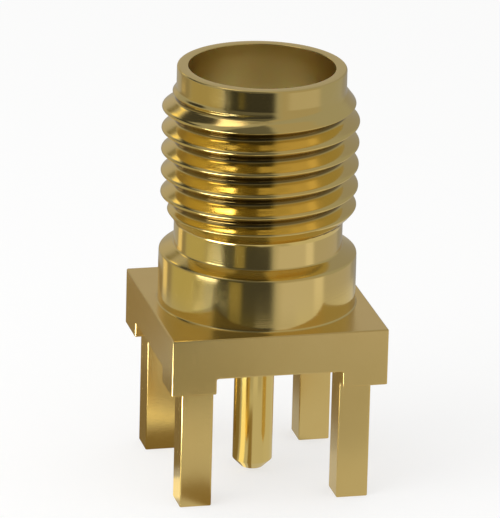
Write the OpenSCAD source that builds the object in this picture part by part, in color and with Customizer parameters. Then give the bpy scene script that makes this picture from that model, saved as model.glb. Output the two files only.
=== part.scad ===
// Straight coaxial jack for a printed circuit board: a gold-plated body with a
// screw-on coupling barrel and four solder legs, a plastic insulator pressed into it
// and a slotted centre contact that ends in a solder tail.
// Z runs along the axis toward the mating face, and z = 0 is the face of the board.

/* [Flange] */
// Side of the square flange
flange_w = 6.95; // [6.8:0.05:9]
// Thickness of the flange above its slots
flange_t = 1.34; // [1:0.02:2.6]
// Height of the corner standoffs, which lift the flange off the board
standoff_h = 0.51; // [0.3:0.01:1]

/* [Legs] */
// Distance between the axes of neighbouring legs, the same both ways
leg_pitch = 5.08; // [4.9:0.02:5.6]
// Side of a square leg
leg_w = 1.02; // [0.7:0.02:1.2]
// Length of a leg below the face of the board
leg_l = 3.9; // [2:0.1:6]

/* [Collar and neck] */
// Diameter of the collar between the flange and the neck
collar_d = 6.28; // [5.8:0.02:6.7]
// Height of the collar's straight part
collar_h = 1.68; // [0.8:0.04:3]
// Height of the bevel from the collar in to the neck
collar_bevel_h = 0.21; // [0.1:0.01:0.5]
// Diameter of the neck, the relief groove under the thread
neck_d = 5.34; // [5.16:0.02:5.36]
// Length of the neck's straight part
neck_l = 0.82; // [0.3:0.02:2]

/* [Thread] */
// Outer diameter of the coupling thread, a quarter inch less its allowance
thread_d = 6.26; // [6.2:0.01:6.34]
// Threads in one inch of length
thread_tpi = 36; // [32:1:44]
// Length of the threaded stretch, with the bevel at each end
thread_l = 4.34; // [2.5:0.1:8]
// Length of the bevel at each end of the thread
thread_bevel_l = 0.57; // [0.3:0.01:0.9]
// Turning angle of the groove about the axis
thread_phase = 272; // [0:1:359]

/* [Mating face] */
// Outer diameter of the plain lip in front of the thread
lip_d = 5.35; // [5.16:0.01:5.36]
// Length of the plain lip
lip_l = 0.7; // [0.3:0.05:2]
// Width of the bevel that breaks the lip's outer edge
lip_edge = 0.05; // [0.02:0.01:0.1]
// Diameter of the socket for the plug's outer conductor
jack_d = 4.64; // [4.5:0.01:4.8]
// Depth of that socket, from the lip to the insulator's face
jack_depth = 1.93; // [1.5:0.01:2.3]
// Width of the bevel round the socket's mouth
jack_edge = 0.03; // [0.02:0.01:0.1]

/* [Insulator] */
// Diameter of the bore that holds the insulator
insulator_bore_d = 4.12; // [3.9:0.02:4.3]
// Diameter of the smaller hole under the ledge that stops the insulator
ledge_bore_d = 3.05; // [2.6:0.05:3.8]
// Thickness of that ledge, at the underside of the flange
ledge_t = 0.6; // [0.3:0.05:0.9]
// Gap between the insulator and the body, on the diameter
insulator_fit = 0.02; // [0.01:0.01:0.1]
// Gap between the insulator and the centre contact, on the diameter
contact_fit = 0.04; // [0.01:0.01:0.1]

/* [Centre contact] */
// Diameter of the contact and of its solder tail
contact_d = 1.27; // [1.16:0.01:1.4]
// Bore for the plug's centre pin
pin_bore_d = 0.94; // [0.9:0.01:1]
// Depth of that bore to its full diameter
pin_bore_depth = 2.9; // [2.7:0.1:3.4]
// Angle of the drill's point at the bottom of the bore
drill_angle = 118; // [90:2:140]
// Number of slots, which let the socket's fingers spring
slot_n = 4; // [2:2:6]
// Width of a slot
slot_w = 0.2; // [0.1:0.01:0.24]
// Length of a slot
slot_l = 2.1; // [1.2:0.1:2.5]
// Depth of the contact's mouth below the insulator's face
mouth_depth = 0.06; // [0:0.01:0.25]
// Width of the bevel round the contact's mouth
mouth_bevel = 0.06; // [0.02:0.01:0.08]
// Diameter of the shoulder that locks the contact in the insulator
shoulder_d = 1.75; // [1.5:0.05:2.4]
// Length of that shoulder
shoulder_l = 0.6; // [0.3:0.05:1]
// Height of the shoulder's lower face above the underside of the flange
shoulder_z = 1.5; // [1:0.1:2.4]
// Length of the solder tail below the face of the board
tail_l = 3.81; // [2:0.05:6]
// Length of the bevel at the tail's tip
tail_bevel = 0.28; // [0.1:0.02:0.5]
// Diameter of the contact's waist inside the ledge, where the line around it is narrower
waist_d = 0.94; // [0.8:0.02:0.96]

/* [Hidden] */

// How far a cutter runs past the face it opens
over = 0.5;
// Segments in a full circle
round_fn = 96;
inch = 25.4;

// Heights of the body's faces, from the board up
z_under = standoff_h;
z_flange = z_under + flange_t;
z_collar = z_flange + collar_h;
z_neck = z_collar + collar_bevel_h;
z_thread = z_neck + neck_l;
z_lip = z_thread + thread_l;
z_top = z_lip + lip_l;

// Heights inside: the insulator's face, the ledge it rests on and the contact's mouth
z_face = z_top - jack_depth;
z_ledge = z_under + ledge_t;
z_mouth = z_face - mouth_depth;
z_shoulder = z_under + shoulder_z;

// Unified thread form: 60 degree flanks, crests an eighth and depth 0.6134 of the pitch
pitch = inch / thread_tpi;
flank_angle = 30;
crest_flat = pitch / 8;
thread_depth = 0.6134 * pitch;
root_r = thread_d / 2 - thread_depth;
// The groove's cutter reaches this far outside the crests
cutter_over = 0.04;
// Rings of points in one turn of the cutter
turn_steps = 60;

// Gap between two legs, and the width of the slots milled under the flange
leg_gap = leg_pitch - leg_w;

gold = [0.80, 0.66, 0.36];
white = [0.95, 0.95, 0.93];
pale_gold = [0.86, 0.72, 0.42];

// Half width of the groove's cutter at radius r
function cutter_half(r) = (pitch - crest_flat) / 2 + (r - thread_d / 2) * tan(flank_angle);

// One ring of the cutter: root, root, outside, outside, at step i of its helix
function cutter_ring(i, z) =
    let (a = thread_phase + 360 * i / turn_steps, h = z + pitch * i / turn_steps)
    [for (p = [[root_r, -1], [root_r, 1], [thread_d / 2 + cutter_over, 1], [thread_d / 2 + cutter_over, -1]])
        [p[0] * cos(a), p[0] * sin(a), h + p[1] * cutter_half(p[0])]];

// The V-shaped groove of the thread as one right-handed coil, from below the neck's
// end of the thread to above the lip's end, where it runs out into clear air
module thread_groove() {
    steps = ceil((thread_l + 2 * pitch) / pitch * turn_steps);
    rings = [for (i = [0 : steps]) each cutter_ring(i, z_thread - pitch)];
    side = 4;
    walls = [for (i = [0 : steps - 1], k = [0 : side - 1])
        let (a = i * side + k, b = i * side + (k + 1) % side)
        each [[a, a + side, b], [b, a + side, b + side]]];
    first = [for (k = [0 : side - 1]) k];
    last = [for (k = [side - 1 : -1 : 0]) steps * side + k];
    polyhedron(points = rings, faces = concat(walls, [first, last]), convexity = 20);
}

// The turned outside of collar, neck, threaded barrel and lip
module barrel_blank() {
    rotate_extrude($fn = round_fn)
        polygon([
            [0, z_under],
            [collar_d / 2, z_under],
            [collar_d / 2, z_collar],
            [neck_d / 2, z_neck],
            [neck_d / 2, z_thread],
            [thread_d / 2, z_thread + thread_bevel_l],
            [thread_d / 2, z_lip - thread_bevel_l],
            [lip_d / 2, z_lip],
            [lip_d / 2, z_top - lip_edge],
            [lip_d / 2 - lip_edge, z_top],
            [0, z_top]
        ]);
}

// The square flange with its corner standoffs, left by two crossing slots
module flange() {
    difference() {
        translate([-flange_w / 2, -flange_w / 2, 0])
            cube([flange_w, flange_w, z_flange]);
        for (a = [0, 90]) rotate(a)
            translate([-leg_gap / 2, -flange_w / 2 - over, -over])
                cube([leg_gap, flange_w + 2 * over, z_under + over]);
    }
}

// The four solder legs, flush with the inner faces of the standoffs
module legs() {
    for (x = [-1, 1], y = [-1, 1])
        translate([x * leg_pitch / 2 - leg_w / 2, y * leg_pitch / 2 - leg_w / 2, -leg_l])
            cube([leg_w, leg_w, leg_l + z_flange]);
}

// The stepped hole through the body: ledge, insulator bore, jack socket and its bevelled mouth
module body_bores() {
    translate([0, 0, -over])
        cylinder(d = ledge_bore_d, h = z_ledge + 2 * over, $fn = round_fn);
    translate([0, 0, z_ledge])
        cylinder(d = insulator_bore_d, h = z_face - z_ledge + over, $fn = round_fn);
    translate([0, 0, z_face])
        cylinder(d = jack_d, h = jack_depth + over, $fn = round_fn);
    translate([0, 0, z_top - jack_edge])
        cylinder(d1 = jack_d, d2 = jack_d + 4 * jack_edge, h = 2 * jack_edge, $fn = round_fn);
}

module body() {
    color(gold) difference() {
        union() {
            flange();
            legs();
            barrel_blank();
        }
        body_bores();
        thread_groove();
    }
}

module insulator() {
    hole_d = contact_d + contact_fit;
    color(white) rotate_extrude($fn = round_fn)
        polygon([
            [hole_d / 2, z_under],
            [(ledge_bore_d - insulator_fit) / 2, z_under],
            [(ledge_bore_d - insulator_fit) / 2, z_ledge],
            [(insulator_bore_d - insulator_fit) / 2, z_ledge],
            [(insulator_bore_d - insulator_fit) / 2, z_face],
            [hole_d / 2, z_face],
            [hole_d / 2, z_shoulder + shoulder_l],
            [(shoulder_d + contact_fit) / 2, z_shoulder + shoulder_l],
            [(shoulder_d + contact_fit) / 2, z_shoulder],
            [hole_d / 2, z_shoulder]
        ]);
}

module centre_contact() {
    bore_r = pin_bore_d / 2;
    bore_end = z_mouth - pin_bore_depth;
    color(pale_gold) difference() {
        rotate_extrude($fn = round_fn)
            polygon([
                [0, -tail_l],
                [contact_d / 2 - tail_bevel, -tail_l],
                [contact_d / 2, tail_bevel - tail_l],
                [contact_d / 2, z_under],
                [waist_d / 2, z_under],
                [waist_d / 2, z_ledge],
                [contact_d / 2, z_ledge],
                [contact_d / 2, z_shoulder],
                [shoulder_d / 2, z_shoulder],
                [shoulder_d / 2, z_shoulder + shoulder_l],
                [contact_d / 2, z_shoulder + shoulder_l],
                [contact_d / 2, z_mouth - mouth_bevel],
                [contact_d / 2 - mouth_bevel, z_mouth],
                [0, z_mouth]
            ]);
        translate([0, 0, bore_end])
            cylinder(r = bore_r, h = pin_bore_depth + over, $fn = round_fn);
        translate([0, 0, bore_end - bore_r / tan(drill_angle / 2)])
            cylinder(r1 = 0, r2 = bore_r, h = bore_r / tan(drill_angle / 2), $fn = round_fn);
        for (i = [0 : slot_n / 2 - 1]) rotate(180 / slot_n + i * 360 / slot_n)
            translate([-contact_d, -slot_w / 2, z_mouth - slot_l])
                cube([2 * contact_d, slot_w, slot_l + over]);
    }
}

body();
insulator();
centre_contact();
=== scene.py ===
"""Dresses a straight gold-plated coaxial jack for circuit boards and lights it in a small studio.

Lengths are in metres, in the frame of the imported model: Z runs along the jack's axis toward its
mating face, and z = 0 is the face of the board.
"""

import logging
from dataclasses import dataclass
from enum import Enum

import bmesh
import bpy
import numpy as np
from mathutils import Matrix, Vector


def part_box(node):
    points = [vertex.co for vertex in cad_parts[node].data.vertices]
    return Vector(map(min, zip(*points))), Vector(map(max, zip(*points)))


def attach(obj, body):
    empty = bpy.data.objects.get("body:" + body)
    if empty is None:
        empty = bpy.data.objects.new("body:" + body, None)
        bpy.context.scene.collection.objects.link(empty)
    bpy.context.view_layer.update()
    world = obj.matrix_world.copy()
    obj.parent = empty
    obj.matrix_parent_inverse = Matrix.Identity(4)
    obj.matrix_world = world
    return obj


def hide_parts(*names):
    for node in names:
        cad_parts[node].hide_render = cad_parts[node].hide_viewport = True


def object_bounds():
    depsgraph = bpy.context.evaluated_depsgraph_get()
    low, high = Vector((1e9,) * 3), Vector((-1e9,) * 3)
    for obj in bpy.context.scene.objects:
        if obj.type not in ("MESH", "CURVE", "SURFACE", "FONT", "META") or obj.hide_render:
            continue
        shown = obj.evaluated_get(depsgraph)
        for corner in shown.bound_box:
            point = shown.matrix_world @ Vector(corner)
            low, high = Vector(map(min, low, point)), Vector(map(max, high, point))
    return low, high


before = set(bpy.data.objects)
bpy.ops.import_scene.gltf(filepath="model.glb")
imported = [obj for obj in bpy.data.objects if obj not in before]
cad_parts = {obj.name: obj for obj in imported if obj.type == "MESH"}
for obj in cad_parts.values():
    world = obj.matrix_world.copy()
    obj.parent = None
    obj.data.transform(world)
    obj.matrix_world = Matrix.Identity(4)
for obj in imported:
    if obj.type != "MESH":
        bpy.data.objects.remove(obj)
CAD_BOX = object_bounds()

LOG = logging.getLogger("jack")
MM = 0.001
INCH = 25.4 * MM
TURN = 2 * np.pi


class Slot(Enum):
    """Material slots of the record, one for each finish of the pieces."""

    BODY = "plated_brass"
    INSULATOR = "dielectric"
    CONTACT = "plated_contact"


# ---------------------------------------------------------------- shapes


def soft_max(first: np.ndarray, second: np.ndarray, blend: float) -> np.ndarray:
    """Larger of two values, with the kink between them rounded.

    Formula: half of the sum plus the root of the squared difference plus the squared blend.

    Args:
        first: First value.
        second: Second value.
        blend: Width of the rounded kink.

    Returns:
        The rounded maximum.
    """
    return (first + second + np.sqrt((first - second) ** 2 + blend**2)) / 2


def soft_min(first: np.ndarray, second: np.ndarray, blend: float) -> np.ndarray:
    """Smaller of two values, with the kink rounded: the mirror image of soft_max.

    Args:
        first: First value.
        second: Second value.
        blend: Width of the rounded kink.

    Returns:
        The rounded minimum.
    """
    return -soft_max(-np.asarray(first), -np.asarray(second), blend)


def rounded_section(corners: list[tuple[float, float, float]], steps: int = 5) -> np.ndarray:
    """Section of a turned piece, with an arc at each corner.

    Each arc touches both of its sides: its centre lies on the corner's bisector, and its points are
    the centre plus the radius at equal angles between the two feet.

    Args:
        corners: (radius from the axis, height, corner radius) of each corner, in order.
        steps: Points of an arc less one.

    Returns:
        Points (radius, height) of the closed section, one per row.
    """
    points = []
    count = len(corners)
    for index, (r, z, bend) in enumerate(corners):
        here = np.array([r, z])
        before = np.array(corners[index - 1][:2]) - here
        after = np.array(corners[(index + 1) % count][:2]) - here
        before /= np.linalg.norm(before)
        after /= np.linalg.norm(after)
        half = np.arccos(np.clip(before @ after, -1, 1)) / 2
        if bend <= 0 or half > np.radians(89):
            points.append(here[None])
            continue
        bisector = (before + after) / np.linalg.norm(before + after)
        centre = here + bisector * bend / np.sin(half)
        start = here + before * bend / np.tan(half) - centre
        end = here + after * bend / np.tan(half) - centre
        sweep = np.arctan2(start[0] * end[1] - start[1] * end[0], start @ end)
        turn = sweep * np.linspace(0, 1, steps + 1)[:, None]
        points.append(centre + start * np.cos(turn) + np.array([-start[1], start[0]]) * np.sin(turn))
    return np.concatenate(points)


def ring_faces(rows: np.ndarray, columns: int) -> np.ndarray:
    """Quads between neighbouring rings of points, each ring closed on itself.

    Args:
        rows: Index of each ring's first point, from one ring to the next along the section.
        columns: Points in a ring.

    Returns:
        One quad per row of the result.
    """
    here = np.arange(columns)
    there = (here + 1) % columns
    low, high = rows[:-1, None], rows[1:, None]
    quads = np.stack([low + here, low + there, high + there, high + here], -1)
    return quads.reshape(-1, 4)


def spin(radius: np.ndarray, height: np.ndarray, angle: np.ndarray) -> np.ndarray:
    """Points at a radius, a height and an angle about the Z axis, as rows of x, y and z."""
    radius, height, angle = np.broadcast_arrays(radius, height, angle)
    return np.stack([radius * np.cos(angle), radius * np.sin(angle), height], -1).reshape(-1, 3)


def make_object(name: str, points: np.ndarray, faces: list, smooth: bool = True) -> bpy.types.Object:
    """Makes a mesh object at the origin.

    Args:
        name: Name of the piece.
        points: Points, one per row.
        faces: Arrays of faces; the faces of one array have as many corners as it has columns.
        smooth: Whether the faces are shaded smooth.

    Returns:
        The new object, linked to the scene.
    """
    loops = [face for array in faces for face in np.asarray(array).tolist()]
    mesh = bpy.data.meshes.new(name)
    mesh.from_pydata(points.tolist(), [], loops)
    mesh.polygons.foreach_set("use_smooth", np.full(len(mesh.polygons), smooth))
    mesh.validate()
    mesh.update()
    piece = bpy.data.objects.new(name, mesh)
    bpy.context.scene.collection.objects.link(piece)
    return piece


def soften_edges(piece: bpy.types.Object, width: float, segments: int) -> None:
    """Rounds the sharp edges of a piece with a live Bevel modifier.

    Args:
        piece: The piece.
        width: Width of the rounding.
        segments: Faces across the rounding.
    """
    bevel = piece.modifiers.new("edge_break", "BEVEL")
    bevel.width = width
    bevel.segments = segments
    bevel.limit_method = "ANGLE"
    bevel.angle_limit = np.radians(35)
    bevel.use_clamp_overlap = False
    bevel.harden_normals = True
    bevel.miter_outer = "MITER_ARC"


def seat(piece: bpy.types.Object, slot: Slot, *nodes: str) -> bpy.types.Object:
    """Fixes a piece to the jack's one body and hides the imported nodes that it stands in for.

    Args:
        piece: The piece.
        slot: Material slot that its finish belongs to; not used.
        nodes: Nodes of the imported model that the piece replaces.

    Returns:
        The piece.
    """
    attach(piece, "root")
    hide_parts(*nodes)
    LOG.info("%s: %d faces", piece.name, len(piece.data.polygons))
    return piece


# ---------------------------------------------------------------- finishes


def linear(code: str) -> tuple:
    """Turns an sRGB hex colour such as "ffcc66" to linear red, green, blue and alpha."""
    channels = np.array([int(code[i : i + 2], 16) for i in (0, 2, 4)]) / 255
    low, high = channels / 12.92, ((channels + 0.055) / 1.055) ** 2.4
    return (*np.where(channels <= 0.04045, low, high).tolist(), 1.0)


def add_node(
    tree: bpy.types.NodeTree, kind: str, sockets: dict | None = None, **settings: object
) -> bpy.types.Node:
    """Adds a node with its settings, values and links.

    Args:
        tree: Tree that gets the node.
        kind: Type name of the node.
        sockets: Value or source socket of each input, by the input's name or index.
        settings: Attributes of the node itself.

    Returns:
        The new node.
    """
    node = tree.nodes.new(kind)
    for name, value in settings.items():
        setattr(node, name, value)
    for key, value in (sockets or {}).items():
        if isinstance(value, bpy.types.NodeSocket):
            tree.links.new(value, node.inputs[key])
        else:
            node.inputs[key].default_value = value
    return node


def empty_material(name: str) -> tuple[bpy.types.Material, bpy.types.NodeTree]:
    """Makes a material without nodes.

    Args:
        name: Name of the material.

    Returns:
        The material and its node tree.
    """
    material = bpy.data.materials.new(name)
    material.use_nodes = True
    material.node_tree.nodes.clear()
    return material, material.node_tree


def patterned_material(name: str) -> tuple:
    """Makes a material for a pattern on the piece's own coordinates.

    Args:
        name: Name of the material.

    Returns:
        The material, its node tree and the Object coordinates in millimetres.
    """
    material, tree = empty_material(name)
    place = add_node(tree, "ShaderNodeTexCoord").outputs["Object"]
    scaled = add_node(tree, "ShaderNodeVectorMath", {0: place, "Scale": 1 / MM}, operation="SCALE")
    return material, tree, scaled.outputs[0]


def axis_distance(tree: bpy.types.NodeTree, parts: bpy.types.NodeOutputs) -> bpy.types.NodeSocket:
    """Distance from the Z axis of a place that is given by its separate x, y and z."""
    flat = add_node(tree, "ShaderNodeCombineXYZ", {0: parts[0], 1: parts[1]}).outputs[0]
    return add_node(tree, "ShaderNodeVectorMath", {0: flat}, operation="LENGTH").outputs["Value"]


@dataclass(frozen=True)
class GoldPlate:
    """Electroplated gold over brass.

    The plate follows the metal under it, so its gloss is that of the cutting tool's marks: fine rings
    on what was turned, a short grain on what was milled, lengthwise lines on drawn wire.

    The tool marks' sizes run along x, y and z. On a turned piece they run along the radius, the angle
    in radians and the height; one point attribute says where painted shade darkens the colour, in the
    thread's roots and in the bore, and the attribute "haze" says where the bore is rough.
    """

    name: str
    colour: str
    pale: str
    roughness: float
    mark_mm: tuple
    mark_depth_mm: float
    grain_mm: float
    grain_depth_mm: float
    turned: bool
    # Dark colour that painted shade mixes toward, in the thread's roots and down the bore
    painted_shade: str = "5c4518"
    cloud_per_mm: float = 0.6
    rough_spread: tuple = (0.75, 1.3)

    def build(self) -> bpy.types.Material:
        """Builds the material.

        Returns:
            The material.
        """
        material, tree, place = patterned_material(self.name)
        if self.turned:
            parts = add_node(tree, "ShaderNodeSeparateXYZ", {0: place}).outputs
            angle = add_node(
                tree, "ShaderNodeMath", {0: parts[1], 1: parts[0]}, operation="ARCTAN2"
            ).outputs[0]
            round_axis = {0: axis_distance(tree, parts), 1: angle, 2: parts[2]}
            marks_place = add_node(tree, "ShaderNodeCombineXYZ", round_axis).outputs[0]
        else:
            marks_place = place
        per_mark = tuple(1 / size for size in self.mark_mm)
        marks_at = add_node(
            tree, "ShaderNodeVectorMath", {0: marks_place, 1: per_mark}, operation="MULTIPLY"
        ).outputs[0]
        marks = add_node(
            tree, "ShaderNodeTexNoise", {"Vector": marks_at, "Scale": 1.0, "Detail": 3.0}
        ).outputs[0]
        grain = add_node(
            tree, "ShaderNodeTexNoise", {"Vector": place, "Scale": 1 / self.grain_mm, "Detail": 3.0}
        ).outputs[0]
        cloud = add_node(
            tree, "ShaderNodeTexNoise", {"Vector": place, "Scale": self.cloud_per_mm, "Detail": 4.0}
        ).outputs[0]
        shade = add_node(
            tree,
            "ShaderNodeMix",
            {"Factor": cloud, 6: linear(self.colour), 7: linear(self.pale)},
            data_type="RGBA",
        ).outputs[2]
        smooth, coarse = (self.roughness * share for share in self.rough_spread)
        rough = add_node(
            tree, "ShaderNodeMapRange", {"Value": grain, "To Min": smooth, "To Max": coarse}
        ).outputs[0]
        cut = add_node(
            tree, "ShaderNodeBump", {"Height": marks, "Distance": self.mark_depth_mm * MM, "Strength": 1.0}
        ).outputs[0]
        pitted = add_node(
            tree,
            "ShaderNodeBump",
            {"Height": grain, "Distance": self.grain_depth_mm * MM, "Strength": 1.0, "Normal": cut},
        ).outputs[0]
        if self.turned:
            # Painted shade: the colour is mixed toward the dark colour where the point attribute says, in
            # the thread's roots and in the bore
            painted_shade = add_node(tree, "ShaderNodeAttribute", attribute_name="painted_darkening").outputs["Fac"]
            shade = add_node(
                tree, "ShaderNodeMix", {"Factor": painted_shade, 6: shade, 7: linear(self.painted_shade)}, data_type="RGBA"
            ).outputs[2]
            haze = add_node(tree, "ShaderNodeAttribute", attribute_name="haze").outputs["Fac"]
            rough = add_node(tree, "ShaderNodeMath", {0: rough, 1: haze}, operation="ADD").outputs[0]
        surface = add_node(
            tree,
            "ShaderNodeBsdfPrincipled",
            {"Base Color": shade, "Metallic": 1.0, "Roughness": rough, "Normal": pitted},
        ).outputs[0]
        add_node(tree, "ShaderNodeOutputMaterial", {0: surface})
        return material


# Gold plate on lathe-turned brass: bright, with rings a few hundredths of a millimetre apart
TURNED_GOLD = GoldPlate(
    name="gold_plate_turned",
    colour="f2d888",
    pale="f5dc90",
    roughness=0.12,
    mark_mm=(0.05, 2.0, 0.05),
    mark_depth_mm=0.0006,
    grain_mm=0.05,
    grain_depth_mm=0.0005,
    turned=True,
)
# Gold plate on milled brass: satin, with the short grain that the side of the cutter leaves
MILLED_GOLD = GoldPlate(
    name="gold_plate_milled",
    colour="eccf84",
    pale="f2d890",
    roughness=0.23,
    mark_mm=(0.09, 0.09, 0.3),
    mark_depth_mm=0.002,
    grain_mm=0.05,
    grain_depth_mm=0.0017,
    turned=False,
)
# Gold plate on drawn and turned copper alloy: polished, with lengthwise die lines
DRAWN_GOLD = GoldPlate(
    name="gold_plate_drawn",
    colour="f2d888",
    pale="f5dc8e",
    roughness=0.12,
    mark_mm=(0.05, 0.05, 3.0),
    mark_depth_mm=0.001,
    grain_mm=0.05,
    grain_depth_mm=0.0005,
    turned=False,
)


@dataclass(frozen=True)
class Fluoropolymer:
    """Turned fluoropolymer: waxy white that lets a little light in, with faint rings from the lathe."""

    name: str = "fluoropolymer_turned"
    colour: str = "f2f1ec"
    roughness: float = 0.42
    ring_mm: float = 0.06
    ring_depth_mm: float = 0.002

    def build(self) -> bpy.types.Material:
        """Builds the material.

        Returns:
            The material.
        """
        material, tree, place = patterned_material(self.name)
        parts = add_node(tree, "ShaderNodeSeparateXYZ", {0: place}).outputs
        in_section = {0: axis_distance(tree, parts), 2: parts[2]}
        rings_at = add_node(tree, "ShaderNodeCombineXYZ", in_section).outputs[0]
        rings = add_node(
            tree, "ShaderNodeTexNoise", {"Vector": rings_at, "Scale": 1 / self.ring_mm, "Detail": 2.0}
        ).outputs[0]
        bump = add_node(
            tree, "ShaderNodeBump", {"Height": rings, "Distance": self.ring_depth_mm * MM, "Strength": 1.0}
        ).outputs[0]
        surface = add_node(
            tree,
            "ShaderNodeBsdfPrincipled",
            {
                "Base Color": linear(self.colour),
                "Roughness": self.roughness,
                "IOR": 1.35,
                "Subsurface Weight": 0.4,
                "Subsurface Scale": 0.4 * MM,
                "Normal": bump,
            },
        ).outputs[0]
        add_node(tree, "ShaderNodeOutputMaterial", {0: surface})
        return material


# ---------------------------------------------------------------- pieces


@dataclass(frozen=True)
class Thread:
    """Right-handed unified thread with 60 degree flanks, cut into a blank that is bevelled at both ends."""

    pitch: float = INCH / 36
    outer: float = 3.13 * MM
    low: float = 4.56 * MM
    high: float = 8.90 * MM
    bevel: float = 0.57 * MM
    start_angle: float = float(np.radians(272))
    crest_share: float = 0.10
    depth_share: float = 0.6134
    rounding: float = 0.045 * MM
    root_rounding: float = 0.04 * MM
    half_angle: float = float(np.radians(30))
    # Painted shade in the roots: its strength, how far above the groove's middle it sits, its half width,
    # and how far short of the thread's two ends it stops
    painted_root_shade_share: float = 0.85
    painted_root_shade_rise: float = 0.02 * MM
    painted_root_shade_reach: float = 0.075 * MM
    painted_root_shade_ends: tuple = (0.1 * MM, 0.2 * MM)

    def groove(self, angle: np.ndarray, height: np.ndarray) -> np.ndarray:
        """Radius of the cut groove.

        Formula: the groove's middle climbs one pitch a turn. Its floor is flat, and past half the
        floor's width the radius rises with the cotangent of 30 degrees.

        Args:
            angle: Angle about the axis.
            height: Height along the axis.

        Returns:
            Radius that the cutter leaves.
        """
        climb = self.low + self.pitch * (angle - self.start_angle) / TURN
        away = np.abs((height - climb + self.pitch / 2) % self.pitch - self.pitch / 2)
        depth = self.depth_share * self.pitch
        floor = (1 - self.crest_share) * self.pitch / 2 - depth * np.tan(self.half_angle)
        flank = self.outer - depth + (away - floor) / np.tan(self.half_angle)
        return soft_max(self.outer - depth, flank, self.root_rounding)

    def painted_root_shade(self, angle: np.ndarray, height: np.ndarray) -> np.ndarray:
        """Share of painted shade, which darkens the roots.

        Formula: a flat-topped bell across the groove, its exponent the fourth power of the distance,
        centred a little above the groove's middle, and nothing near the thread's two ends.

        Args:
            angle: Angle about the axis.
            height: Height along the axis.

        Returns:
            Shares from 0 to 1.
        """
        climb = self.low + self.pitch * (angle - self.start_angle) / TURN
        across = (height - climb + self.pitch / 2) % self.pitch - self.pitch / 2
        inside = (height > self.low + self.painted_root_shade_ends[0]) & (height < self.high - self.painted_root_shade_ends[1])
        bell = np.exp(-(((across - self.painted_root_shade_rise) / self.painted_root_shade_reach) ** 4))
        return self.painted_root_shade_share * bell * inside

    def surface(self, angle: np.ndarray, height: np.ndarray, neck: float, lip: float) -> np.ndarray:
        """Radius of the threaded stretch: the smallest of the blank, its two bevels and the groove.

        Args:
            angle: Angle about the axis.
            height: Height along the axis.
            neck: Radius at the foot of the lower bevel.
            lip: Radius at the foot of the upper bevel.

        Returns:
            Radius of the surface.
        """
        lower = neck + (height - self.low) * (self.outer - neck) / self.bevel
        upper = lip + (self.high - height) * (self.outer - lip) / self.bevel
        blank = soft_min(soft_min(self.outer, lower, self.rounding), upper, self.rounding)
        return soft_min(blank, self.groove(angle, height), self.rounding)


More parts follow.
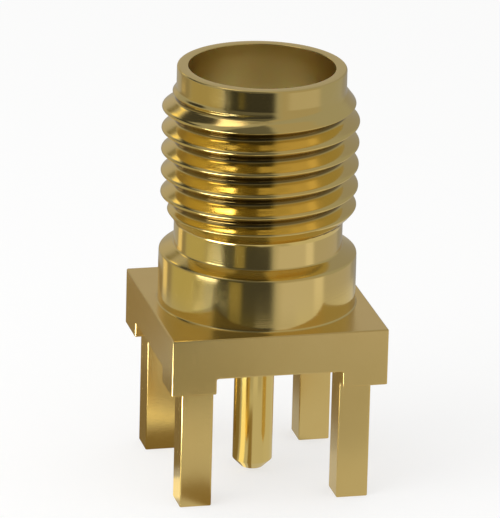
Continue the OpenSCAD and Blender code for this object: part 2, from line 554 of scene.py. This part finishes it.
@dataclass
class Barrel:
    """Turned part of the body: collar, neck, thread, lip, and the stepped bore inside."""

    thread: Thread
    collar_radius: float = 3.14 * MM
    collar_top: float = 3.53 * MM
    neck_radius: float = 2.67 * MM
    neck_bottom: float = 3.74 * MM
    lip_radius: float = 2.675 * MM
    lip_edge: float = 0.06 * MM
    jack_radius: float = 2.32 * MM
    jack_edge: float = 0.03 * MM
    bore_radius: float = 2.06 * MM
    flange_top: float = 1.85 * MM
    fillet: float = 0.05 * MM
    collar_rounding: float = 0.05 * MM
    joint_rounding: float = 0.03 * MM
    # Share of painted shade that darkens the bore wall, and roughness added to it
    bore_painted_darkening: float = 0.28
    bore_haze: float = 0.22
    columns: int = 272
    levels_per_pitch: int = 36

    def outer_radius(self, angle: np.ndarray, height: np.ndarray) -> np.ndarray:
        """Radius of the outside, from the flange to the lip.

        Formula: the largest of the neck or lip, the bevelled collar and the threaded blank, plus a
        quarter round where the collar meets the flange.

        Args:
            angle: Angle about the axis.
            height: Height along the axis.

        Returns:
            Radius of the surface.
        """
        middle = (self.thread.low + self.thread.high) / 2
        plain = np.where(height < middle, self.neck_radius, self.lip_radius)
        slope = (self.collar_radius - self.neck_radius) / (self.neck_bottom - self.collar_top)
        bevel = self.neck_radius + (self.neck_bottom - height) * slope
        collar = soft_min(self.collar_radius, bevel, self.collar_rounding)
        threaded = self.thread.surface(angle, height, self.neck_radius, self.lip_radius)
        rise = np.clip(height - self.flange_top, 0, self.fillet)
        flare = self.fillet - np.sqrt(self.fillet**2 - (self.fillet - rise) ** 2)
        unthreaded = soft_max(plain, collar, self.joint_rounding)
        return soft_max(unthreaded, threaded, self.joint_rounding) + flare

    def rings_below(self) -> np.ndarray:
        """Heights of the level rings, from the flange to the start of the climbing rings.

        Returns:
            Heights in rising order, close together where the section bends.
        """
        bend = 0.07 * MM
        return np.concatenate(
            [
                self.flange_top + self.fillet * (1 - np.cos(np.linspace(0, np.pi / 2, 6))),
                np.linspace(self.flange_top + 0.15 * MM, self.collar_top - bend, 6),
                np.linspace(self.collar_top - bend, self.collar_top + bend, 10)[1:],
                np.linspace(self.collar_top + bend, self.neck_bottom - bend, 3)[1:],
                np.linspace(self.neck_bottom - bend, self.neck_bottom + bend, 10)[1:],
            ]
        )

    def climbing_heights(self) -> np.ndarray:
        """Heights of the rings that climb with the thread, so that crests and roots run along edges.

        Formula: the height grows by one pitch in each turn and by equal steps from ring to ring. Above
        the thread what is left is pressed together, so that the last ring stays on the lip.

        Returns:
            Heights, one row per ring and one column per angle.
        """
        start = self.neck_bottom + 0.09 * MM
        clear = self.thread.high + 0.07 * MM
        rings = int(np.ceil((clear - start) / self.thread.pitch * self.levels_per_pitch)) + 1
        turned = np.arange(self.columns) / self.columns
        climb = np.arange(rings + 1)[:, None] / self.levels_per_pitch + turned
        raw = start + self.thread.pitch * climb
        end = self.lip_top() - self.lip_edge - 0.03 * MM
        return np.interp(raw, [start, clear, raw.max()], [start, clear, end])

    @staticmethod
    def lip_top() -> float:
        """Height of the mating face."""
        return CAD_BOX[1].z

    def section_above(self) -> np.ndarray:
        """Section from the lip's outer wall over the mating face, down the bore and under the collar.

        Returns:
            Points (radius, height), one per row.
        """
        top = self.lip_top()
        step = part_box("insulator")[1].z
        under = self.flange_top - 0.05 * MM
        corners = [
            (self.lip_radius, top - self.lip_edge - 0.01 * MM, 0),
            (self.lip_radius, top, self.lip_edge),
            (self.jack_radius, top, self.jack_edge),
            (self.jack_radius, top - 0.5 * MM, 0),
            (self.jack_radius, step, 0.03 * MM),
            (self.bore_radius, step, 0.03 * MM),
            (self.bore_radius, under, 0),
            (self.collar_radius - 0.1 * MM, under, 0),
        ]
        return rounded_section(corners)

    def build(self) -> bpy.types.Object:
        """Builds the closed barrel.

        Level rings make the collar, the lip and the bore. Between them the rings climb with the
        thread, and one pitch of rings ends on the seam at each end, where a fan of triangles on the
        plain neck or lip closes it.

        Returns:
            The barrel.
        """
        count = self.columns
        pitch_rings = self.levels_per_pitch
        angle = self.thread.start_angle + TURN * np.arange(count) / count
        below = np.repeat(self.rings_below()[:, None], count, 1)
        climbing = self.climbing_heights()
        outside = np.concatenate([below, climbing])
        section = self.section_above()
        points = np.concatenate(
            [
                spin(self.outer_radius(angle, outside), outside, angle),
                spin(section[:, :1], section[:, 1:], angle),
            ]
        )
        first = len(below) * count
        last = first + (len(climbing) - 1) * count
        above = last + count
        rows = np.arange(0, len(points), count)
        level_below = ring_faces(rows[rows < first], count)
        level_above = ring_faces(np.append(rows[rows >= above], 0), count)
        open_rows = rows[(rows >= first - count) & (rows <= above)]
        here = np.arange(count - 1)
        low, high = open_rows[:-1, None], open_rows[1:, None]
        climbing_quads = np.stack([low + here, low + here + 1, high + here + 1, high + here], -1)
        climbing_quads = climbing_quads.reshape(-1, 4)
        ring = np.arange(len(climbing) - 1 - pitch_rings) * count + first
        ahead = ring + pitch_rings * count
        seam = np.stack([ring + count - 1, ahead, ahead + count, ring + 2 * count - 1], -1)
        low_tip = first + count - 1
        low_edge = np.append(first - count, first + np.arange(pitch_rings + 1) * count)
        low_fan = np.stack([np.full(len(low_edge) - 1, low_tip), low_edge[:-1], low_edge[1:]], -1)
        low_fan = np.append(low_fan, [[low_tip, first - 1, first - count]], 0)
        high_edge = np.append(last - np.arange(pitch_rings, -1, -1) * count + count - 1, above + count - 1)
        high_fan = np.stack([high_edge[:-1], np.full(len(high_edge) - 1, last), high_edge[1:]], -1)
        high_fan = np.append(high_fan, [[above + count - 1, last, above]], 0)
        piece = make_object(
            "body_barrel", points, [level_below, level_above, climbing_quads, seam, low_fan, high_fan]
        )
        radius, height = section.T
        in_bore = (radius < self.jack_radius + 0.01 * MM) & (height < self.lip_top() - 0.02 * MM)
        within = np.repeat(in_bore, count)
        # Painted shade: darkening in the thread's roots and down the bore; the bore also gets added
        # roughness
        painted_shade = np.append(self.thread.painted_root_shade(angle, outside).ravel(), self.bore_painted_darkening * within)
        haze = np.append(np.zeros(outside.size), self.bore_haze * within)
        for name, values in (("painted_darkening", painted_shade), ("haze", haze)):
            piece.data.attributes.new(name, "FLOAT", "POINT").data.foreach_set("value", values)
        piece.data.materials.append(TURNED_GOLD.build())
        return seat(piece, Slot.BODY, "body")


@dataclass
class Flange:
    """Milled part of the body: square flange, corner standoffs and the four legs."""

    flange_top: float = 1.85 * MM
    underside: float = 0.51 * MM
    ledge_top: float = 1.11 * MM
    leg_inner: float = 2.03 * MM
    leg_outer: float = 3.05 * MM
    pocket: float = 2.12 * MM
    hole_radius: float = 1.525 * MM
    hole_columns: int = 96
    edge_break: float = 0.05 * MM

    def cells(self) -> tuple:
        """Box grid of the flange.

        Formula: breaks along X and Y at the legs' faces and the flange's sides, along Z at each
        level; a cell is solid where its middle lies in the flange, a standoff or a leg.

        Returns:
            Breaks along the side, breaks along Z, and whether each cell is solid.
        """
        side = CAD_BOX[1].x
        half = [self.leg_inner, self.pocket, self.leg_outer, side]
        across = np.array([-h for h in reversed(half)] + half)
        up = np.array([CAD_BOX[0].z, 0.0, self.underside, self.ledge_top, self.flange_top])
        middle = np.abs((across[:-1] + across[1:]) / 2)
        x, y, z = np.meshgrid(middle, middle, (up[:-1] + up[1:]) / 2, indexing="ij")
        near, far = np.minimum(x, y), np.maximum(x, y)
        plate = (z > self.underside) & ~((z > self.ledge_top) & (far < self.pocket))
        standoff = (z > 0) & (near > self.leg_inner)
        leg = (near > self.leg_inner) & (far < self.leg_outer)
        return across, up, plate | standoff | leg

    def build(self) -> bpy.types.Object:
        """Builds the closed block: the outer faces of its solid cells, with a round hole in the middle.

        Returns:
            The flange with its standoffs and legs.
        """
        across, up, solid = self.cells()
        x, y, z = np.meshgrid(across, across, up, indexing="ij")
        points = np.stack([x, y, z], -1).reshape(-1, 3)
        index = np.arange(len(points)).reshape(x.shape)
        padded = np.pad(solid, 1)
        quads = []
        for axis in range(3):
            ahead = np.roll(padded, -1, axis)
            for facing, edge in ((1, padded & ~ahead), (-1, ~padded & ahead)):
                cell = np.argwhere(edge)
                low = cell.copy()
                low[:, [a for a in range(3) if a != axis]] -= 1
                a, b = (axis + 1) % 3, (axis + 2) % 3
                step_a, step_b = np.eye(3, dtype=int)[[a, b]]
                ring = [low, low + step_a, low + step_a + step_b, low + step_b][::facing]
                quads.append(np.stack([index[tuple(corner.T)] for corner in ring], -1))
        faces = np.concatenate(quads)
        flat = np.isin(np.abs(points[faces][:, :, :2]), [self.leg_inner]).all((1, 2))
        level = np.ptp(points[faces][:, :, 2], 1) == 0
        middle = flat & level & (np.abs(points[faces].mean(1)[:, :2]).max(1) < 1e-9)
        holes, hole_points = self.hole(points, len(points))
        points = np.concatenate([points, hole_points])
        piece = make_object("body_flange", points, [faces[~middle], *holes], smooth=True)
        self.tidy(piece.data)
        soften_edges(piece, self.edge_break, 3)
        piece.data.materials.append(MILLED_GOLD.build())
        return seat(piece, Slot.BODY, "body")

    def hole(self, points: np.ndarray, offset: int) -> tuple:
        """Round hole through the middle cell: its wall, and the flat faces round its two rims.

        Args:
            points: Points of the box grid.
            offset: Index of the hole's first point.

        Returns:
            Arrays of faces, and the hole's own points.
        """
        count = self.hole_columns
        angle = TURN * (np.arange(count) / count + 1 / 8)
        rims = [self.underside, self.ledge_top]
        hole_points = np.concatenate([spin(self.hole_radius, z, angle) for z in rims])
        wall = ring_faces(np.array([count, 0]) + offset, count)
        arrays = [wall]
        corners = self.leg_inner * np.array([[1, 1], [-1, 1], [-1, -1], [1, -1]])
        for level, z in enumerate(rims):
            near = [int(np.argmin(np.linalg.norm(points - [*c, z], axis=1))) for c in corners]
            for quarter in range(4):
                arc = (np.arange(count // 4 + 1) + quarter * count // 4) % count + offset + level * count
                loop = [near[quarter], near[(quarter + 1) % 4], *arc[::-1].tolist()]
                arrays.append(np.array([loop if level else loop[::-1]]))
        return arrays, hole_points

    @staticmethod
    def tidy(mesh: bpy.types.Mesh) -> None:
        """Joins the coplanar faces of the box grid and drops points that no face uses.

        Args:
            mesh: The mesh, which is changed.
        """
        work = bmesh.new()
        work.from_mesh(mesh)
        bmesh.ops.delete(work, geom=[v for v in work.verts if not v.link_faces], context="VERTS")
        bmesh.ops.dissolve_limit(work, angle_limit=np.radians(1), verts=work.verts, edges=work.edges)
        work.to_mesh(mesh)
        work.free()


@dataclass
class Insulator:
    """Turned bush that carries the contact."""

    outer: float = 2.05 * MM
    ledge: float = 1.515 * MM
    hole: float = 0.655 * MM
    ledge_top: float = 1.11 * MM
    columns: int = 128

    def build(self) -> bpy.types.Object:
        """Builds the bush as a closed turned section.

        Returns:
            The bush.
        """
        low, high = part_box("insulator")[0].z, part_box("insulator")[1].z
        corners = [
            (self.hole, low, 0.03 * MM),
            (self.ledge, low, 0.03 * MM),
            (self.ledge, self.ledge_top, 0),
            (self.outer, self.ledge_top, 0.02 * MM),
            (self.outer, high, 0.04 * MM),
            (self.hole, high, 0.03 * MM),
        ]
        section = rounded_section(corners)
        angle = TURN * np.arange(self.columns) / self.columns
        points = spin(section[:, :1], section[:, 1:], angle)
        rows = np.append(np.arange(len(section)), 0) * self.columns
        piece = make_object("insulator_bush", points, [ring_faces(rows, self.columns)])
        piece.data.materials.append(Fluoropolymer().build())
        return seat(piece, Slot.INSULATOR, "insulator")


@dataclass
class Contact:
    """Centre contact: solder tail, shank with its locking shoulder, and four spring fingers."""

    radius: float = 0.635 * MM
    waist: float = 0.47 * MM
    bore: float = 0.47 * MM
    bore_depth: float = 2.9 * MM
    slot_width: float = 0.2 * MM
    slot_length: float = 2.1 * MM
    fingers: int = 4
    shoulder: float = 0.875 * MM
    shoulder_low: float = 2.01 * MM
    shoulder_high: float = 2.61 * MM
    waist_low: float = 0.51 * MM
    waist_high: float = 1.11 * MM
    tail_bevel: float = 0.28 * MM
    columns: int = 96
    edge_break: float = 0.02 * MM

    def shank(self) -> tuple:
        """Turned shank, from the tail's tip to the bottom of the slots.

        Returns:
            Points and arrays of faces.
        """
        low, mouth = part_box("centre_contact")[0].z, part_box("centre_contact")[1].z
        root = mouth - self.slot_length
        floor = mouth - self.bore_depth
        bend = 0.03 * MM
        corners = [
            (0.02 * MM, low, 0),
            (self.radius - self.tail_bevel, low, bend),
            (self.radius, low + self.tail_bevel, bend),
            (self.radius, self.waist_low, 0),
            (self.waist, self.waist_low, 0),
            (self.waist, self.waist_high, 0),
            (self.radius, self.waist_high, 0),
            (self.radius, self.shoulder_low, 0),
            (self.shoulder, self.shoulder_low, 0),
            (self.shoulder, self.shoulder_high, 0),
            (self.radius, self.shoulder_high, 0),
            (self.radius, root, 0),
            (self.bore, root, 0),
            (self.bore, floor, 0),
            (0.02 * MM, floor - 0.6 * self.bore, 0),
        ]
        section = rounded_section(corners)
        angle = TURN * np.arange(self.columns) / self.columns
        points = spin(section[:, :1], section[:, 1:], angle)
        rows = np.arange(len(section)) * self.columns
        caps = [np.arange(self.columns)[None, ::-1], (rows[-1] + np.arange(self.columns))[None]]
        return points, [ring_faces(rows, self.columns), *caps]

    def finger(self, middle: float, offset: int) -> tuple:
        """Points and faces of one spring finger.

        Formula: its outline is two arcs at the contact's and the bore's radius, each ending where it
        meets the slot's flat wall, at the arcsine of half the slot's width over the radius.

        Args:
            middle: Angle of the finger's middle.
            offset: Index of the finger's first point.

        Returns:
            Points and arrays of faces.
        """
        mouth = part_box("centre_contact")[1].z
        steps = np.linspace(-1, 1, 17)
        loops = []
        for radius, way in ((self.radius, 1), (self.bore, -1)):
            reach = np.pi / self.fingers - np.arcsin(self.slot_width / 2 / radius)
            loops.append(spin(radius, 0.0, middle + way * reach * steps))
        outline = np.concatenate(loops)
        rings = [outline + [0, 0, z] for z in (mouth - self.slot_length - 0.02 * MM, mouth)]
        count = len(outline)
        caps = [np.arange(count)[None, ::-1] + offset, np.arange(count)[None] + offset + count]
        return np.concatenate(rings), [ring_faces(np.array([0, count]) + offset, count), *caps]

    def build(self) -> bpy.types.Object:
        """Builds the shank with its fingers.

        Returns:
            The contact.
        """
        points, faces = self.shank()
        for number in range(self.fingers):
            middle = TURN * number / self.fingers
            more, arrays = self.finger(middle, len(points))
            points = np.concatenate([points, more])
            faces += arrays
        piece = make_object("centre_contact_pin", points, faces)
        soften_edges(piece, self.edge_break, 2)
        piece.data.materials.append(DRAWN_GOLD.build())
        return seat(piece, Slot.CONTACT, "centre_contact")


# ---------------------------------------------------------------- studio


@dataclass(frozen=True)
class Card:
    """Soft-edged patch of light or shade on the tent, which the metal mirrors.

    Azimuths are in degrees from the jack's front, toward +X; heights are from the board.
    """

    azimuth: tuple
    height: tuple
    level: float
    tint: str = "ffffff"
    soft_deg: float = 6.0
    soft_mm: float = 1.5
    radius: tuple = (-9, 99)

    def share(self, azimuth: np.ndarray, height: np.ndarray, radius: np.ndarray) -> np.ndarray:
        """How much the card covers each point.

        Formula: the product of a smooth step in and out along the azimuth, wrapped at half a turn,
        and the like along the height and the radius; a smooth step is 3 t squared minus 2 t cubed.

        Args:
            azimuth: Azimuths in degrees.
            height: Heights in millimetres.
            radius: Distances from the axis in millimetres.

        Returns:
            Shares from 0 to 1.
        """
        centre = (self.azimuth[0] + self.azimuth[1]) / 2
        reach = (self.azimuth[1] - self.azimuth[0]) / 2
        away = np.abs((azimuth - centre + 180) % 360 - 180)
        along = np.clip((reach - away) / self.soft_deg + 0.5, 0, 1)
        low = np.clip((height - self.height[0]) / self.soft_mm + 0.5, 0, 1)
        high = np.clip((self.height[1] - height) / self.soft_mm + 0.5, 0, 1)
        near = np.clip(radius - self.radius[0] + 0.5, 0, 1)
        far = np.clip(self.radius[1] - radius + 0.5, 0, 1)
        return np.prod([t * t * (3 - 2 * t) for t in (along, low, high, near, far)], axis=0)


@dataclass
class Tent:
    """Closed light tent round the jack, which only glossy rays see.

    It stands between the metal and the white background, so the gold mirrors these patches and not
    that white, and renders well under its written colour. The patches were placed and levelled for
    the one camera of this script. Without the tent the gold is far paler and has no dark bands, and
    its base colours then need to be darker.
    """

    opening: float = 0.05
    radius: float = 26.0
    cove: float = 0.8
    wall_top: float = 34.0
    dome: float = 21.0
    columns: int = 360
    table_rows: int = 64
    wall_rows: int = 78
    wall: float = 0.36
    cards: tuple = (
        # Wall behind, and the pale patch that the top of the flange mirrors
        Card((150, 212), (-9, 90), 0.40, "fffaf4", 20),
        Card((140, 210), (8, 15), 0.47, "fff6e8", 16, 4.0),
        Card((212, 238), (-9, 8), 0.28, "fff0d0", 8),
        Card((213, 225), (-9, 1), 0.85, "ffe9b8", 4, 1.0),
        # Left wall, above the table
        Card((236, 276), (-9, -1), 0.45, "fff4bd", 10, 2.0),
        Card((238, 294), (-0.5, 10), 0.37, "ffefc0", 12, 1.0),
        Card((274, 287), (-9, -1), 0.30, "fff4bd", 6, 2.0),
        # Right wall: brighter low down, with the edge of a doorway in it
        Card((9.5, 65.5), (-9, 90), 0.39, "fff5e4", 14),
        Card((9.5, 67.5), (-9, -1), 0.54, "fff9fb", 14, 2.0),
        Card((22, 68), (0, 3.5), 0.47, "fff9f5", 10, 1.0),
        Card((52.5, 64.5), (-9, -1), 0.68, "fff9fb", 5, 2.0),
        Card((67.5, 120), (-9, -1.5), 0.43, "fff9fb", 6, 2.0),
        Card((120, 150), (-9, 90), 0.32, "fffcff", 10),
        # Dark room where the camera stands, with a door frame in it
        Card((-62, -20), (-9, 90), 0.12, "ffffff", 4),
        Card((-30, 4), (-9, 90), 0.12, "ffffff", 10),
        Card((-62, -20), (-9, -1.5), 0.055, "ffffff", 4, 1.0),
        Card((-30, 3), (-9, -1.5), 0.055, "ffffff", 9, 1.0),
        Card((-53, 3), (-0.5, 8), 0.04, "ffffff", 9, 1.0),
        Card((-43, -30), (-9, -2.5), 0.26, "ffedaa", 5, 1.0),
        Card((-43, -35), (-2, 2.5), 0.12, "fff0b0", 6, 1.5),
        # Tall window at the left
        Card((-71.5, -65), (-9, -2.5), 0.26, "ffffff", 3, 1.0),
        Card((-82, -58), (-3.2, 0), 3.0, "ffffff", 6, 0.6),
        # Table all round, paler in front and at the right, browner behind
        Card((-180, 540), (-9, -3.7), 0.43, "fffaf0", 6, 0.1, (-9, 19)),
        Card((30, 130), (-9, -3.7), 0.56, "fffaf0", 10, 0.1, (-9, 20)),
        Card((-18, 8), (-9, -3.7), 0.60, "fffaf0", 10, 0.1, (-9, 17.8)),
        Card((172, 212), (-9, -3.7), 0.27, "ffe0a0", 10, 0.1, (-9, 21)),
        Card((172, 266), (-9, -3.7), 0.22, "ffe0a0", 10, 0.1, (-9, 11)),
        Card((-60, 44), (-9, -3.7), 0.54, "fffaf0", 10, 0.1, (-9, 7.5)),
        Card((-36, -17), (-9, -3.7), 0.26, "ffe0a0", 6, 0.1, (-9, 5.8)),
        Card((-82, -54), (-9, -3.7), 1.1, "fff2c8", 6, 0.1, (-9, 10)),
        # The window's shine on the table, beside the shade of the door frame
        Card((-85, -62), (-9, -3.7), 9.5, "ffffff", 8, 0.1, (10.5, 17.2)),
        Card((-70, -46), (-9, -3.7), 10.0, "ffffff", 8, 0.1, (10.5, 16.8)),
        Card((-42, 8), (-9, -3.7), 0.12, "fff0b0", 6, 0.1, (12.6, 15.8)),
        Card((-46, -14), (-9, -3.7), 0.12, "fff0b0", 6, 0.1, (15, 20)),
        # Gaps between the walls and the ceiling, and the lamp that shines past them
        Card((222, 264), (18, 29.7), 0.04, "ffffff", 10, 2.0),
        Card((203, 228), (26, 46), 0.05, "ffffff", 8, 2.0),
        Card((203, 212), (20, 24.5), 1.2, "ffe8a0", 4, 1.4),
        Card((196, 203), (16.2, 20), 0.22, "fff0c0", 4, 1.4),
        # Softbox overhead, behind
        Card((208, 250), (46.5, 53), 1.7, "fff0e4", 10, 2.0),
    )

    def profile(self) -> np.ndarray:
        """Section of the tent in millimetres: a table card on the floor, a cove, a wall and a dome.

        Formula: a straight, a quarter circle, a straight, and a quarter ellipse.

        Returns:
            Points (radius, height), one per row.
        """
        floor = CAD_BOX[0].z / MM + 0.01
        turn = np.linspace(0, np.pi / 2, 24)
        bend = self.radius - self.cove
        out = np.linspace(self.opening, bend, self.table_rows)[:-1]
        up = np.linspace(floor + self.cove, self.wall_top, self.wall_rows)[1:-1]
        table = np.stack([out, np.full(len(out), floor)], 1)
        cove = np.stack([bend + self.cove * np.sin(turn), floor + self.cove * (1 - np.cos(turn))], 1)
        wall = np.stack([np.full(len(up), self.radius), up], 1)
        dome = np.stack([self.radius * np.cos(turn) + 0.01, self.wall_top + self.dome * np.sin(turn)], 1)
        return np.concatenate([table, cove, wall, dome])

    def build(self) -> bpy.types.Object:
        """Builds the tent, with the cards' brightness kept on its points.

        Returns:
            The tent.
        """
        section = self.profile()
        angle = TURN * np.arange(self.columns) / self.columns
        points = spin(section[:, :1] * MM, section[:, 1:] * MM, angle)
        rows = np.arange(len(section)) * self.columns
        piece = make_object("light_tent", points, [ring_faces(rows, self.columns)])
        azimuth = np.degrees(np.arctan2(points[:, 0], -points[:, 1]))
        height = points[:, 2] / MM
        radius = np.hypot(points[:, 0], points[:, 1]) / MM
        light = np.full((len(points), 4), self.wall)
        for card in self.cards:
            share = card.share(azimuth, height, radius)[:, None]
            light += (card.level * np.array(linear(card.tint)) - light) * share
        glow = piece.data.attributes.new("glow", "FLOAT_COLOR", "POINT")
        glow.data.foreach_set("color", light.ravel())
        material, tree = empty_material("tent_card")
        seen = add_node(tree, "ShaderNodeAttribute", attribute_name="glow").outputs["Color"]
        shine = add_node(tree, "ShaderNodeEmission", {"Color": seen, "Strength": 1.0}).outputs[0]
        add_node(tree, "ShaderNodeOutputMaterial", {0: shine})
        material.cycles.emission_sampling = "NONE"
        piece.data.materials.append(material)
        for ray in ("camera", "diffuse", "transmission", "volume_scatter", "shadow"):
            setattr(piece, f"visible_{ray}", False)
        return piece


@dataclass
class Studio:
    """Floor, lights and camera."""

    azimuth: float = -13.643
    elevation: float = 19.449
    roll: float = 1.477
    distance: float = 191.75 * MM
    lens: float = 421.1
    sensor: float = 36.0
    clip_start: float = 10 * MM
    aim: tuple = (-0.250 * MM, -0.773 * MM)
    aim_height: float = 4.0 * MM
    floor_size: float = 400 * MM
    floor_colour: str = "fbfbfa"
    shadow_share: float = 0.35
    ambient: float = 0.84
    lamp_size: float = 60 * MM
    lamp_place: tuple = (-55 * MM, -20 * MM, 60 * MM)
    lamp_power: float = 0.022

    def camera(self) -> None:
        """Places the camera: it looks at the axis from the azimuth and elevation, turned by the roll."""
        a, e, r = np.radians([self.azimuth, self.elevation, self.roll])
        back = np.array([np.sin(a) * np.cos(e), -np.cos(a) * np.cos(e), np.sin(e)])
        level = np.array([np.cos(a), np.sin(a), 0])
        up = np.cross(back, level)
        right, top = np.cos(r) * level + np.sin(r) * up, np.cos(r) * up - np.sin(r) * level
        aim = np.array([0, 0, self.aim_height]) + self.aim[0] * right + self.aim[1] * top
        place = aim + self.distance * back
        data = bpy.data.cameras.new("camera")
        data.lens = self.lens
        data.sensor_width = self.sensor
        data.clip_start = self.clip_start
        camera = bpy.data.objects.new("camera", data)
        matrix = Matrix.Identity(4)
        for column, axis in enumerate((right, top, back, place)):
            matrix.col[column][:3] = axis
        camera.matrix_world = matrix
        bpy.context.scene.collection.objects.link(camera)
        bpy.context.scene.camera = camera

    @staticmethod
    def background_rays(tree: bpy.types.NodeTree) -> bpy.types.NodeSocket:
        """Says 1 for camera, glossy and transmission rays.

        While the light tent stands, the glossy rays from the jack end on it and never get here.

        Args:
            tree: Tree that gets the nodes.

        Returns:
            The socket that says 1 or 0.
        """
        path = add_node(tree, "ShaderNodeLightPath").outputs
        seen = {0: path["Is Camera Ray"], 1: path["Is Glossy Ray"]}
        mirrored = add_node(tree, "ShaderNodeMath", seen, operation="MAXIMUM").outputs[0]
        return add_node(
            tree, "ShaderNodeMath", {0: mirrored, 1: path["Is Transmission Ray"]}, operation="MAXIMUM"
        ).outputs[0]

    def floor(self) -> None:
        """Lays the floor at the legs' tips: white to the camera, apart from the jack's shadow."""
        half = self.floor_size / 2
        corners = np.array([[-1, -1], [1, -1], [1, 1], [-1, 1]]) * half
        points = np.column_stack([corners, np.full(4, CAD_BOX[0].z)])
        piece = make_object("floor", points, [np.array([[0, 1, 2, 3]])], smooth=False)
        material, tree = empty_material("floor_white_card")
        matt = add_node(tree, "ShaderNodeBsdfDiffuse", {"Color": linear(self.floor_colour)}).outputs[0]
        white = add_node(tree, "ShaderNodeEmission", {"Color": (1, 1, 1, 1), "Strength": 1.0}).outputs[0]
        kept = add_node(tree, "ShaderNodeMixShader", {0: self.shadow_share, 1: white, 2: matt}).outputs[0]
        split = {0: self.background_rays(tree), 1: matt, 2: kept}
        both = add_node(tree, "ShaderNodeMixShader", split).outputs[0]
        add_node(tree, "ShaderNodeOutputMaterial", {0: both})
        material.cycles.emission_sampling = "NONE"
        piece.data.materials.append(material)

    def lamp(self) -> None:
        """Hangs one large soft lamp, which the insulator and the floor see and the metal doesn't."""
        data = bpy.data.lights.new("overhead", "AREA")
        data.shape = "SQUARE"
        data.size = self.lamp_size
        data.energy = self.lamp_power
        lamp = bpy.data.objects.new("overhead", data)
        lamp.location = self.lamp_place
        lamp.rotation_euler = (-Vector(lamp.location)).to_track_quat("-Z", "Y").to_euler()
        lamp.visible_glossy = False
        bpy.context.scene.collection.objects.link(lamp)

    def world(self) -> None:
        """Soft light from all round, and a white background."""
        world = bpy.data.worlds.new("studio")
        world.use_nodes = True
        tree = world.node_tree
        tree.nodes.clear()
        level = (self.ambient, self.ambient, self.ambient, 1)
        soft = add_node(tree, "ShaderNodeBackground", {"Color": level, "Strength": 1.0}).outputs[0]
        white = add_node(tree, "ShaderNodeBackground", {"Color": (1, 1, 1, 1), "Strength": 1.0}).outputs[0]
        split = {0: self.background_rays(tree), 1: soft, 2: white}
        both = add_node(tree, "ShaderNodeMixShader", split).outputs[0]
        add_node(tree, "ShaderNodeOutputWorld", {0: both})
        world.cycles.sampling_method = "NONE"
        bpy.context.scene.world = world

    def build(self) -> None:
        """Builds the studio."""
        self.camera()
        self.floor()
        self.lamp()
        self.world()
        Tent().build()
        bpy.context.scene.view_settings.view_transform = "Standard"


def main() -> None:
    """Builds the pieces and the studio."""
    logging.basicConfig(level=logging.INFO, format="%(name)s: %(message)s")
    Barrel(Thread()).build()
    Flange().build()
    Insulator().build()
    Contact().build()
    Studio().build()


if __name__ == "__main__":
    main()
